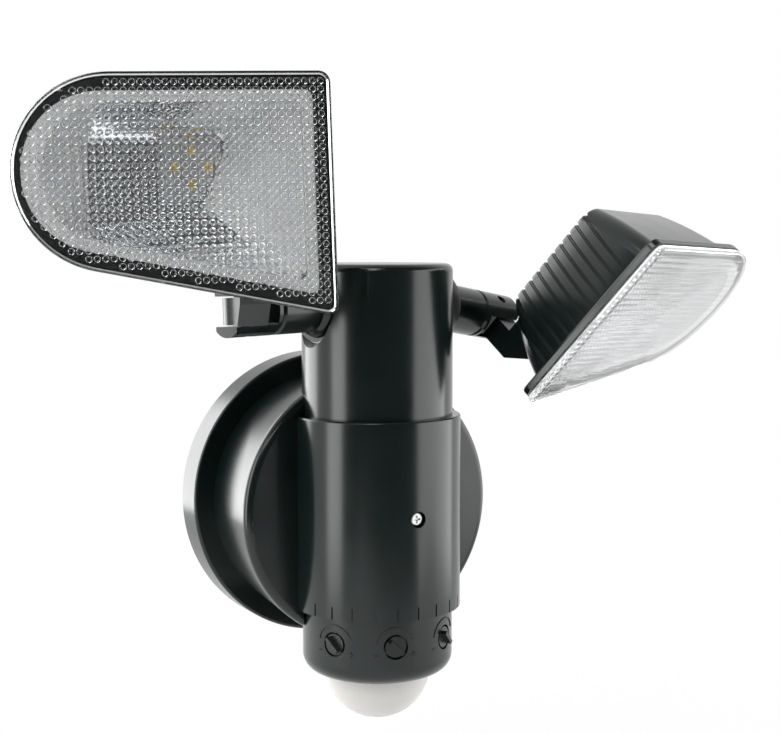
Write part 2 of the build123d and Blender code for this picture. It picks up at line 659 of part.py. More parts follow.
def outer_arm():
    """Second stretch of the arm: spigot, fork and slanted end, with the knuckle pin's holes."""
    start = ARM_SEAM + SEAM_GAP
    root = KNUCKLE_X - EYE_R - FORK_GAP
    body = rod(ARM_R, (start, 0, 0), (KNUCKLE_X + TINE_REACH, 0, 0))
    end = body.edges().filter_by(GeomType.CIRCLE).sort_by(Axis.X)[0]
    body = chamfer(end, SEAM_CHAMFER)
    slot_half = (EYE_T + FORK_GAP) / 2
    body = body - block(root, 2 * KNUCKLE_X, -2 * ARM_R, 2 * ARM_R, -slot_half, slot_half)
    slant_x = KNUCKLE_X + TINE_REACH
    wedge = Pos(slant_x, 0, ARM_R) * Rot(Y=-TINE_SLANT) * block(0, 40, -40, 40, -60, 30)
    rounding = rod(ARM_R + 1.0, (KNUCKLE_X, 0, -2 * ARM_R), (KNUCKLE_X, 0, 2 * ARM_R))
    tip = block(KNUCKLE_X, 2 * KNUCKLE_X, -2 * ARM_R, 2 * ARM_R, -2 * ARM_R, 2 * ARM_R) - rounding
    body = body - wedge - tip
    body = body + rod(SPIGOT_R, (start - SPIGOT_L, 0, 0), (start + 1, 0, 0))
    return body - rod(PIN_R + FIT, (KNUCKLE_X, 0, -2 * ARM_R), (KNUCKLE_X, 0, 2 * ARM_R))


def knuckle_pin():
    """Pin through the fork and the head's eye, in the head's frame."""
    half = ARM_R * 0.88
    return rod(PIN_R, (0, 0, -half), (0, 0, half))


# ---------------------------------------------------------------- lamp head

def shield(inset, corner):
    """Outline of the head, drawn in by an inset: straight end, level top, slanted bottom, round end."""
    slope = radians(HEAD_TAPER)
    round_r = (HEAD_H * cos(slope) - HEAD_W * sin(slope)) / (1 + cos(slope) - sin(slope))
    mid_u = HEAD_W - round_r
    mid_v = HEAD_H / 2 - round_r
    r = round_r - inset
    top = HEAD_H / 2 - inset
    low_u = mid_u + r * sin(slope)
    low_v = mid_v - r * cos(slope)
    foot_v = low_v - (low_u - inset) * tan(slope)
    end_turn = slope / 2
    far = (mid_u + r * cos(end_turn), mid_v + r * sin(end_turn))
    outline = [
        Line((inset, foot_v), (inset, top)),
        Line((inset, top), (mid_u, top)),
        ThreePointArc((mid_u, top), far, (low_u, low_v)),
        Line((low_u, low_v), (inset, foot_v)),
    ]
    face = make_face(outline)
    return fillet(face.vertices().group_by(Axis.X)[0], corner)


def slab(inset, corner, front, back):
    """Plate of the head's outline between two depths behind the lens."""
    return extrude(Pos(0, 0, -back) * shield(inset, corner), back - front)


def bowl(shrink, front, back):
    """Tapered body of the head, drawn in by a shrink."""
    stations = [(BOWL_INSET, RIM_BACK), (BOWL_MID_INSET, BOWL_MID_W), (BOWL_BACK_INSET, HEAD_DEPTH)]
    faces = []
    for inset, depth in stations:
        faces.append(Pos(0, 0, -depth) * shield(inset + shrink, BOWL_CORNER - shrink))
    body = loft(faces)
    keep = Pos(HEAD_W / 2, 0, -(front + back) / 2) * Box(2 * HEAD_W, 2 * HEAD_H, back - front)
    return body & keep


def groove_cutters(width):
    """Slots that lay the grooves round both ends of the bowl."""
    half = width / 2
    front = RIM_BACK + GROOVE_BAND
    back = HEAD_DEPTH + 1
    cutters = []
    for i in range(GROOVE_COUNT):
        v = (i - (GROOVE_COUNT - 1) / 2) * GROOVE_PITCH
        near = BOWL_BACK_INSET + GROOVE_WRAP
        cutters.append(block(0, near, v - half, v + half, -front, -back))
        cutters.append(block(HEAD_W - near, HEAD_W, v - half, v + half, -front, -back))
    return cutters


def back_screw_places():
    """Screws on the back of the head, as (u, v)."""
    return [(HEAD_W * 0.30, 6.0), (HEAD_W * 0.62, 6.0)]


def head_housing():
    """Bowl with its grooves, front rim and the ear that carries the head on its knuckle."""
    outer = bowl(0, RIM_BACK, HEAD_DEPTH)
    outer = fillet(outer.edges().group_by(Axis.Z)[0], BOWL_EDGE)
    body = outer
    for share in (0.5, 1.0):
        depth = GROOVE_DEPTH * share
        skin = outer - bowl(depth, RIM_BACK, HEAD_DEPTH - depth)
        for cutter in groove_cutters(GROOVE_W * (1.5 - share)):
            body = body - (skin & cutter)
    rim = slab(0, HEAD_CORNER, RIM_FRONT, RIM_BACK)
    rim = fillet(rim.edges().group_by(Axis.Z)[0], 0.8)
    body = body + rim + knuckle_ear()
    body = body - bowl(BOWL_WALL, RIM_BACK - 0.01, HEAD_DEPTH - BOWL_WALL)
    body = body - slab(OPENING_INSET, OPENING_CORNER, 0, RIM_BACK + 0.2)
    for u, v in back_screw_places():
        body = body - rod(BACK_SCREW_R + GAP, (u, v, -HEAD_DEPTH - 1), (u, v, BOWL_WALL - HEAD_DEPTH + 1))
    return body


def knuckle_ear():
    """Web and eye behind the lower edge of the head, in the head's own axes."""
    half = EYE_T / 2
    low = KNUCKLE_V - half
    high = KNUCKLE_V + half
    web_w = KNUCKLE_W - WEB_REACH
    outline = [
        (low, -KNUCKLE_W), (low, 6.0 - web_w), (KNUCKLE_V + 3.0, -20.0), (-27.0, -16.0),
        (-18.0, -24.0), (-18.0, -web_w), (high, -web_w), (high, -KNUCKLE_W),
    ]
    face = Plane.YZ.offset(KNUCKLE_U - WEB_W / 2) * make_face(Polyline(*outline, close=True))
    web = extrude(face, WEB_W)
    eye = rod(EYE_R, (KNUCKLE_U, low, -KNUCKLE_W), (KNUCKLE_U, high, -KNUCKLE_W))
    bore = rod(PIN_R + FIT, (KNUCKLE_U, 2 * low, -KNUCKLE_W), (KNUCKLE_U, 0, -KNUCKLE_W))
    return web + eye - bore


def lens():
    """Clear front plate."""
    plate = slab(0, HEAD_CORNER, 0, LENS_T)
    return fillet(plate.edges().group_by(Axis.Z)[-1], LENS_EDGE)


def lens_gasket():
    """Seal between the lens and the rim."""
    ring = slab(GASKET_OUT, HEAD_CORNER, LENS_T, RIM_FRONT)
    return ring - slab(GASKET_IN, HEAD_CORNER, LENS_T - 1, RIM_FRONT + 1)


def reflector():
    """Thin bright tray from the lens down to the light board, with a lip on the rim."""
    rim = Pos(0, 0, -RIM_FRONT)
    floor = Pos(FLOOR_SHIFT_U, FLOOR_SHIFT_V, -LED_BOARD_FRONT)
    inset = OPENING_INSET + GAP
    corner = OPENING_CORNER
    outer = loft([rim * shield(inset, corner), floor * shield(REFLECTOR_FLOOR_INSET, FLOOR_CORNER)])
    grown = inset + REFLECTOR_T
    hole = REFLECTOR_FLOOR_INSET + REFLECTOR_T
    inner = loft([rim * shield(grown, corner), floor * shield(hole, FLOOR_CORNER)])
    lip = slab(GASKET_IN + GAP, HEAD_CORNER, LENS_T, RIM_FRONT) - slab(grown, corner, 0, HEAD_DEPTH)
    return outer - inner + lip


def led_board():
    """Aluminium board with the light chips' pads."""
    board = slab(LED_BOARD_INSET, FLOOR_CORNER, LED_BOARD_FRONT, LED_BOARD_BACK)
    return Pos(FLOOR_SHIFT_U, FLOOR_SHIFT_V, 0) * board


def led_chips():
    """Four light chips in a diamond on the board."""
    group = []
    for u, v in ((-1, 0), (1, 0), (0, -1), (0, 1)):
        centre_u = LED_U + u * LED_PITCH
        centre_v = LED_V + v * LED_PITCH
        chip = Box(LED_SIZE, LED_SIZE, LED_T, align=(Align.CENTER, Align.CENTER, Align.MIN))
        chip = Pos(centre_u, centre_v, -LED_BOARD_FRONT) * chip
        group.append(chip)
    return group


def heat_spreader():
    """Aluminium plate between the light board and the back of the head."""
    plate = slab(SPREADER_INSET, FLOOR_CORNER, LED_BOARD_BACK, SPREADER_BACK)
    for u, v in back_screw_places():
        plate = plate - rod(BACK_SCREW_R + FIT, (u, v, -SPREADER_BACK - 1), (u, v, 1 - LED_BOARD_BACK))
    return plate


def back_screws():
    """Screws from the back of the head into the heat spreader."""
    group = []
    head = -HEAD_DEPTH - SCREW_HEAD_T
    tip = -LED_BOARD_BACK - 0.2
    for u, v in back_screw_places():
        group.append(screw((u, v, head), (u, v, tip), BACK_SCREW_HEAD_R, BACK_SCREW_R))
    return group


def head_axes(item):
    """From the head's build axes to its neutral pose about the knuckle."""
    return Pos(-KNUCKLE_U, -KNUCKLE_W, -KNUCKLE_V) * Plane.XZ.location * item


# ---------------------------------------------------------------- assembly

def add_side(name, side, rest):
    """Make and place one lamp head with its arm; side is 1 on the right and -1 on the left."""
    seat, inner, outer, head = side_chain(side, rest)
    facing = Rot(Z=0 if side > 0 else 180)
    add(name + "_ball_seat", seat * facing * ball_seat())
    add(name + "_arm_inner", inner * facing * inner_arm())
    add(name + "_arm_outer", outer * facing * outer_arm())
    add(name + "_knuckle_pin", head * knuckle_pin())
    head_pieces = {
        "head_housing": [head_housing()],
        "lens": [lens()],
        "lens_gasket": [lens_gasket()],
        "reflector": [reflector()],
        "led_board": [led_board()],
        "led_chips": led_chips(),
        "heat_spreader": [heat_spreader()],
        "back_screws": back_screws(),
    }
    for piece, solids in head_pieces.items():
        placed = []
        for solid in solids:
            item = head_axes(solid)
            if side < 0:
                item = mirror(item, about=Plane.YZ)
            placed.append(head * item)
        add(name + "_" + piece, placed[0] if len(placed) == 1 else Compound(children=placed))


def build():
    """Make every piece."""
    add("wall_plate", wall_plate())
    add("wall_gasket", wall_gasket())
    add("cable_grommet", cable_grommet())
    add("base_drum", base_drum())
    add("plate_screws", plate_screws())
    add("driver_board", driver_board())
    add("driver_capacitor", driver_capacitor())
    add("terminal_block", terminal_block())
    front, rear = hub_halves()
    add("hub_front", front)
    add("hub_rear", rear)
    add("hub_screws", hub_screws())
    add("front_shell", front_shell())
    add("shell_screw", shell_screw())
    add("chassis", chassis())
    add("chassis_screws", chassis_screws())
    add("hub_floor_screws", hub_floor_screws())
    add("ring_retainer", ring_retainer())
    add("sensor_ring", sensor_ring())
    for name, turn in zip(("left", "middle", "right"), knob_turns()):
        add("knob_" + name, knob(turn))
    add("potentiometers", potentiometers())
    add("sensor_board", sensor_board())
    add("pyro_sensor", pyro_sensor())
    add("pir_dome", pir_dome())
    add_side("left", -1, LEFT_REST)
    add_side("right", 1, RIGHT_REST)


build()
for node, solid in parts.items():
    export_step(solid, "parts/" + node + ".step")
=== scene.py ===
"""Looks of a wall-mounted motion sensor light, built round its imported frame.

Lengths are in metres unless a name ends in _mm. The wall is the plane Y = 0, the front looks along -Y and +Z is up.
"""

from __future__ import annotations

import logging
import math
from dataclasses import dataclass, field, replace
from enum import Enum
from typing import Any

import bmesh
import bpy
from mathutils import Matrix, Vector

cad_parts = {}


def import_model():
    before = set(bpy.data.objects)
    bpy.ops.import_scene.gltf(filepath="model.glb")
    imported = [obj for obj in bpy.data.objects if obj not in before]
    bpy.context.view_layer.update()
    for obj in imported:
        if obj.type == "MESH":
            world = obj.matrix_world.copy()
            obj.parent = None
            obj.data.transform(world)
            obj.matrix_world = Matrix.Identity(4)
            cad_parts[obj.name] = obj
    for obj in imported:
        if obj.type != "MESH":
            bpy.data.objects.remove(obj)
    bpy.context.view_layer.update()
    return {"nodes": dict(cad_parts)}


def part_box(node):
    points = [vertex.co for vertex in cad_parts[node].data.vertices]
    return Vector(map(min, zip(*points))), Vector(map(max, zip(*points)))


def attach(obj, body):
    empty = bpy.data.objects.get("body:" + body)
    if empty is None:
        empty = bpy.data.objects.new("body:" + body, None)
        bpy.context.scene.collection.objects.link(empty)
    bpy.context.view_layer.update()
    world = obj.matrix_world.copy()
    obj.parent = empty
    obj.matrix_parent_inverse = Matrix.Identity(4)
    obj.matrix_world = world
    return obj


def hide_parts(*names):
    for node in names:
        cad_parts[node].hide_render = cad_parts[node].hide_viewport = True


LOG = logging.getLogger("sensor_light")
MM = 0.001
PHOTO_WIDTH_PX = 780
WHITE = (1.0, 1.0, 1.0)
WELD = 1e-6
BEAD_WELD = 2e-6
SMOOTH_DEG = 35.0


# ---------------------------------------------------------------------------------------------- node trees


@dataclass(frozen=True)
class Wiring:
    """A node tree, with short ways to add nodes and to join them."""

    tree: bpy.types.NodeTree

    def feed(self, node: bpy.types.Node, inputs: dict[str | int, Any]) -> None:
        """Set or link a node's inputs.

        Args:
            node: The node.
            inputs: For each socket, by name or number, another node's output or a plain value.
        """
        for socket, source in inputs.items():
            if isinstance(source, bpy.types.NodeSocket):
                self.tree.links.new(source, node.inputs[socket])
            else:
                node.inputs[socket].default_value = source

    def add(self, kind: str, inputs: dict[str | int, Any] | None = None) -> bpy.types.Node:
        """Add a node.

        Args:
            kind: Its type.
            inputs: What feeds its sockets.

        Returns:
            The node.
        """
        node = self.tree.nodes.new(kind)
        self.feed(node, inputs or {})
        return node

    def ramp(self, share: bpy.types.NodeSocket, span: tuple[float, float], low: tuple[float, float, float],
             high: tuple[float, float, float]) -> bpy.types.NodeSocket:
        """Run from one colour to another.

        Args:
            share: What drives the change.
            span: Where it starts and ends.
            low: The first colour.
            high: The last colour.

        Returns:
            The colour's socket.
        """
        node = self.add("ShaderNodeValToRGB", {"Fac": share})
        for stop, position, colour in zip(node.color_ramp.elements, span, (low, high)):
            stop.position = position
            stop.color = (*colour, 1.0)
        return node.outputs["Color"]

    def ease(self, value: bpy.types.NodeSocket, span: tuple[float, float], low: float = 0.0) -> bpy.types.NodeSocket:
        """Rise smoothly to one.

        Args:
            value: What drives the rise.
            span: Where it starts and ends.
            low: The result before its start.

        Returns:
            The result's socket.
        """
        node = self.add("ShaderNodeMapRange", {"Value": value, "From Min": span[0], "From Max": span[1], "To Min": low})
        node.interpolation_type = "SMOOTHSTEP"
        return node.outputs["Result"]

    def combine(self, operation: str, first: bpy.types.NodeSocket,
                second: bpy.types.NodeSocket) -> bpy.types.NodeSocket:
        """Work out one number from two.

        Args:
            operation: The sum to do.
            first: The first number.
            second: The second number.

        Returns:
            The result's socket.
        """
        node = self.add("ShaderNodeMath", {0: first, 1: second})
        node.operation = operation
        return node.outputs["Value"]

    def blend(self, share: bpy.types.NodeSocket, first: bpy.types.NodeSocket,
              second: bpy.types.NodeSocket) -> bpy.types.NodeSocket:
        """Mix two shaders.

        Args:
            share: How much of the second shows.
            first: The first shader.
            second: The second shader.

        Returns:
            The mixed shader's socket.
        """
        return self.add("ShaderNodeMixShader", {"Fac": share, 1: first, 2: second}).outputs["Shader"]


# ---------------------------------------------------------------------------------------------- finishes


CLOUD_SCALE = 70.0
CLOUD_DETAIL = 4.0
MOTTLE_SPAN = (0.35, 0.65)
GLOSS_SPAN = (0.3, 0.7)
GLOSS_SWING = (0.93, 1.07)
DRAWN_SCALE = (1.0, 1.0, 14.0)
GRAIN_DETAIL = 3.0
FOAM_DETAIL = 6.0
RELIEF_STRENGTH = 0.35
BLEED_RADIUS = (0.006, 0.005, 0.004)


class Texture(Enum):
    """How a moulded or cut surface is broken up."""

    FINE = "fine"
    SMOOTH = "smooth"
    FOAM = "foam"
    DRAWN = "drawn"


@dataclass(frozen=True)
class Finish:
    """One finish of the light, as a procedural material on Object coordinates."""

    name: str
    colour: tuple[float, float, float]
    roughness: float
    texture: Texture = Texture.SMOOTH
    metallic: float = 0.0
    mottle: float = 0.06
    grain: float = 1800.0
    relief_mm: float = 0.004
    transmission: float = 0.0
    ior: float = 1.5
    translucency: float = 0.0

    def material(self) -> bpy.types.Material:
        """Make the material, or return it if it exists.

        Returns:
            The material with its node tree.
        """
        found = bpy.data.materials.get(self.name)
        if found is not None:
            return found
        mat = bpy.data.materials.new(self.name)
        mat.use_nodes = True
        wiring = Wiring(mat.node_tree)
        place = wiring.add("ShaderNodeTexCoord").outputs["Object"]
        cloud = wiring.add("ShaderNodeTexNoise", {"Vector": place, "Scale": CLOUD_SCALE, "Detail": CLOUD_DETAIL})
        shader = mat.node_tree.nodes["Principled BSDF"]
        wiring.feed(shader, {
            "Base Color": self._colour(wiring, cloud.outputs["Fac"]),
            "Roughness": self._gloss(wiring, cloud.outputs["Fac"]),
            "Metallic": self.metallic,
            "IOR": self.ior,
            "Transmission Weight": self.transmission,
        })
        if self.translucency > 0.0:
            wiring.feed(shader, {"Subsurface Weight": self.translucency, "Subsurface Radius": BLEED_RADIUS,
                                 "Subsurface Scale": 1.0})
        if self.texture is not Texture.SMOOTH:
            wiring.feed(shader, {"Normal": self._relief(wiring, place)})
        return mat

    def _colour(self, wiring: Wiring, cloud: bpy.types.NodeSocket) -> bpy.types.NodeSocket:
        """Vary the colour a little from place to place.

        Args:
            wiring: The material's node tree.
            cloud: The slow noise that drives the change.

        Returns:
            The colour's socket.
        """
        dark = tuple(channel * (1.0 - self.mottle) for channel in self.colour)
        pale = tuple(min(1.0, channel * (1.0 + self.mottle)) for channel in self.colour)
        return wiring.ramp(cloud, MOTTLE_SPAN, dark, pale)

    def _gloss(self, wiring: Wiring, cloud: bpy.types.NodeSocket) -> bpy.types.NodeSocket:
        """Vary the roughness a little from place to place.

        Args:
            wiring: The material's node tree.
            cloud: The slow noise that drives the change.

        Returns:
            The roughness's socket.
        """
        low, high = (self.roughness * swing for swing in GLOSS_SWING)
        node = wiring.add("ShaderNodeMapRange", {"Value": cloud, "From Min": GLOSS_SPAN[0], "From Max": GLOSS_SPAN[1],
                                                 "To Min": low, "To Max": high})
        return node.outputs["Result"]

    def _relief(self, wiring: Wiring, place: bpy.types.NodeSocket) -> bpy.types.NodeSocket:
        """Raise the surface's fine grain.

        Args:
            wiring: The material's node tree.
            place: The Object coordinates.

        Returns:
            The normal's socket.
        """
        if self.texture is Texture.DRAWN:
            place = wiring.add("ShaderNodeMapping", {"Vector": place, "Scale": DRAWN_SCALE}).outputs["Vector"]
        detail = FOAM_DETAIL if self.texture is Texture.FOAM else GRAIN_DETAIL
        grain = wiring.add("ShaderNodeTexNoise", {"Vector": place, "Scale": self.grain, "Detail": detail})
        bump = wiring.add("ShaderNodeBump", {"Height": grain.outputs["Fac"], "Strength": RELIEF_STRENGTH,
                                             "Distance": self.relief_mm * MM})
        return bump.outputs["Normal"]


BLACK_PLASTIC = Finish("satin_black_plastic", (0.0042, 0.0085, 0.0077), 0.21, Texture.FINE, mottle=0.10,
                       relief_mm=0.006)
INNER_PLASTIC = Finish("inner_black_plastic", (0.014, 0.015, 0.015), 0.45, Texture.FINE)
DIAL_PLASTIC = Finish("dial_black_plastic", (0.008, 0.009, 0.009), 0.28, Texture.FINE)
BLACK_RUBBER = Finish("soft_black_rubber", (0.009, 0.009, 0.009), 0.6, Texture.FINE, grain=1200.0, relief_mm=0.02)
GASKET_FOAM = Finish("closed_cell_foam", (0.02, 0.02, 0.021), 0.9, Texture.FOAM, grain=900.0, relief_mm=0.15)
ZINC_STEEL = Finish("zinc_plated_steel", (0.62, 0.62, 0.60), 0.30, Texture.DRAWN, metallic=1.0, relief_mm=0.01)
DARK_STEEL = Finish("blackened_steel", (0.10, 0.10, 0.10), 0.35, Texture.DRAWN, metallic=1.0, relief_mm=0.01)
BOARD_GREEN = Finish("solder_mask_green", (0.012, 0.10, 0.035), 0.35, Texture.FINE, grain=900.0)
BOARD_WHITE = Finish("solder_mask_white", (0.52, 0.54, 0.55), 0.40, Texture.FINE, grain=900.0)
SLEEVE_BLUE = Finish("shrink_sleeve", (0.02, 0.03, 0.10), 0.30)
PALE_PLASTIC = Finish("pale_moulded_plastic", (0.62, 0.61, 0.57), 0.45, Texture.FINE)
CAN_STEEL = Finish("drawn_can", (0.60, 0.58, 0.52), 0.25, Texture.DRAWN, metallic=1.0)
MILKY_DOME = Finish("frosted_dome_plastic", (0.61, 0.585, 0.555), 0.33, Texture.FINE, mottle=0.02, relief_mm=0.01,
                    translucency=0.2)
SEAT_PLASTIC = Finish("dark_nylon", (0.02, 0.021, 0.02), 0.4, Texture.FINE)
SILVER_COAT = Finish("metallised_plastic", (0.86, 0.87, 0.88), 0.06, Texture.FINE, metallic=1.0, mottle=0.02,
                     grain=350.0, relief_mm=0.02)
SATIN_COAT = Finish("satin_metallised_plastic", (0.90, 0.895, 0.89), 0.35, Texture.FINE, mottle=0.02, grain=350.0,
                    relief_mm=0.02)
PLAIN_ALUMINIUM = Finish("rolled_aluminium", (0.78, 0.78, 0.79), 0.35, Texture.DRAWN, metallic=1.0)
CHIP_YELLOW = Finish("chip_phosphor", (0.90, 0.62, 0.06), 0.35, Texture.FINE, grain=3000.0)
CHIP_FRAME = Finish("chip_frame", (0.80, 0.79, 0.74), 0.35)
CLEAR_LENS = Finish("moulded_clear_acrylic", (0.97, 0.98, 0.985), 0.03, mottle=0.004, transmission=1.0, ior=1.49)


NODE_FINISHES: dict[str, Finish] = {
    "wall_plate": BLACK_PLASTIC, "wall_gasket": GASKET_FOAM, "cable_grommet": BLACK_RUBBER, "base_drum": BLACK_PLASTIC,
    "plate_screws": ZINC_STEEL, "driver_board": BOARD_GREEN, "driver_capacitor": SLEEVE_BLUE,
    "terminal_block": PALE_PLASTIC, "hub_front": BLACK_PLASTIC, "hub_rear": BLACK_PLASTIC, "hub_screws": ZINC_STEEL,
    "front_shell": BLACK_PLASTIC, "shell_screw": ZINC_STEEL, "chassis": INNER_PLASTIC, "chassis_screws": ZINC_STEEL,
    "hub_floor_screws": ZINC_STEEL, "ring_retainer": INNER_PLASTIC, "sensor_ring": BLACK_PLASTIC,
    "knob_left": DIAL_PLASTIC, "knob_middle": DIAL_PLASTIC, "knob_right": DIAL_PLASTIC,
    "potentiometers": PALE_PLASTIC, "sensor_board": BOARD_GREEN, "pyro_sensor": CAN_STEEL, "pir_dome": MILKY_DOME,
}
SIDE_FINISHES: dict[str, Finish] = {
    "ball_seat": SEAT_PLASTIC, "arm_inner": BLACK_PLASTIC, "arm_outer": BLACK_PLASTIC, "knuckle_pin": DARK_STEEL,
    "head_housing": BLACK_PLASTIC, "lens": CLEAR_LENS, "lens_gasket": BLACK_RUBBER, "reflector": SILVER_COAT,
    "led_board": BOARD_WHITE, "led_chips": CHIP_YELLOW, "heat_spreader": PLAIN_ALUMINIUM, "back_screws": DARK_STEEL,
}


def dress_frame(nodes: dict[str, bpy.types.Object]) -> None:
    """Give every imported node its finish.

    Args:
        nodes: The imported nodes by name.
    """
    for name, obj in nodes.items():
        finish = NODE_FINISHES.get(name)
        if finish is None:
            _, _, piece = name.partition("_")
            finish = SIDE_FINISHES[piece]
        for slot in obj.material_slots:
            slot.material = finish.material()
        LOG.info("%s gets %s", name, finish.name)


# ---------------------------------------------------------------------------------------------- mesh helpers


def mesh_data(name: str, mesh: bmesh.types.BMesh) -> bpy.types.Mesh:
    """Turn a bmesh into mesh data.

    Args:
        name: The data's name.
        mesh: The shape; it is freed.

    Returns:
        The mesh data.
    """
    data = bpy.data.meshes.new(name)
    mesh.to_mesh(data)
    mesh.free()
    return data


def new_object(name: str, data: bpy.types.ID) -> bpy.types.Object:
    """Put an object into the scene at the origin.

    Args:
        name: The object's name.
        data: Its mesh, lamp or camera.

    Returns:
        The object.
    """
    obj = bpy.data.objects.new(name, data)
    bpy.context.scene.collection.objects.link(obj)
    return obj


def new_piece(name: str, mesh: bmesh.types.BMesh, finish: Finish, smooth_deg: float = SMOOTH_DEG) -> bpy.types.Object:
    """Turn a bmesh into a piece with one finish.

    Args:
        name: The piece's name.
        mesh: The shape in the row frame; it is freed.
        finish: Its finish.
        smooth_deg: Edges sharper than this stay sharp.

    Returns:
        The piece.
    """
    bmesh.ops.remove_doubles(mesh, verts=mesh.verts, dist=WELD)
    bmesh.ops.recalc_face_normals(mesh, faces=mesh.faces)
    limit = math.radians(smooth_deg)
    for face in mesh.faces:
        face.smooth = True
    for edge in mesh.edges:
        edge.smooth = not (len(edge.link_faces) == 2 and edge.calc_face_angle(0.0) > limit)
    data = mesh_data(name, mesh)
    data.materials.append(finish.material())
    return new_object(name, data)


def thicken(mesh: bmesh.types.BMesh, vec: tuple[float, float, float]) -> None:
    """Extrude all of a flat shape into a solid.

    Args:
        mesh: The flat shape.
        vec: How far and which way, in metres.
    """
    raised = bmesh.ops.extrude_face_region(mesh, geom=mesh.faces[:])["geom"]
    verts = [item for item in raised if isinstance(item, bmesh.types.BMVert)]
    bmesh.ops.translate(mesh, verts=verts, vec=vec)


# ---------------------------------------------------------------------------------------------- lamp heads


class Side(Enum):
    """The two lamp heads, each with its sign in X and its stored pose: down, forward, roll, outward."""

    LEFT = ("left", -1, (0.8, 13.5, -2.1, 29.0))
    RIGHT = ("right", 1, (9.3, -17.7, 41.2, 11.2))

    @property
    def label(self) -> str:
        """The side's name."""
        return self.value[0]

    @property
    def sign(self) -> int:
        """1 on the right and -1 on the left."""
        return self.value[1]

    @property
    def rest(self) -> tuple[float, float, float, float]:
        """Angles of the stored pose in degrees."""
        return self.value[2]


@dataclass(frozen=True)
class HeadAxes:
    """Where a lamp head stands: the chain of its ball, arm, swivel and knuckle in the stored pose."""

    side: Side
    ball_mm: tuple[float, float, float] = (23.0, -60.0, 81.5)
    knuckle_mm: float = 39.0
    eye_mm: tuple[float, float, float] = (26.0, 49.0, -40.0)

    def matrix(self) -> Matrix:
        """Follow the chain from the ball to the head.

        Returns:
            The matrix from head axes (u, w, v) in metres to the row frame in metres.
        """
        down, forward, roll, outward = (math.radians(angle) for angle in self.side.rest)
        sign = self.side.sign
        x, y, z = self.ball_mm
        seat = Matrix.Translation((sign * x, y, z)) @ Matrix.Rotation(-sign * forward, 4, "Z")
        arm = seat @ Matrix.Rotation(sign * down, 4, "Y")
        fork = arm @ Matrix.Rotation(roll, 4, "X")
        head = fork @ Matrix.Translation((sign * self.knuckle_mm, 0.0, 0.0)) @ Matrix.Rotation(sign * outward, 4, "Z")
        flip = Matrix.Diagonal((float(sign), 1.0, 1.0, 1.0))
        move = Matrix.Translation(-Vector(self.eye_mm))
        to_mm = Matrix.Diagonal((1 / MM, 1 / MM, 1 / MM, 1.0))
        return to_mm.inverted() @ head @ flip @ move @ to_mm


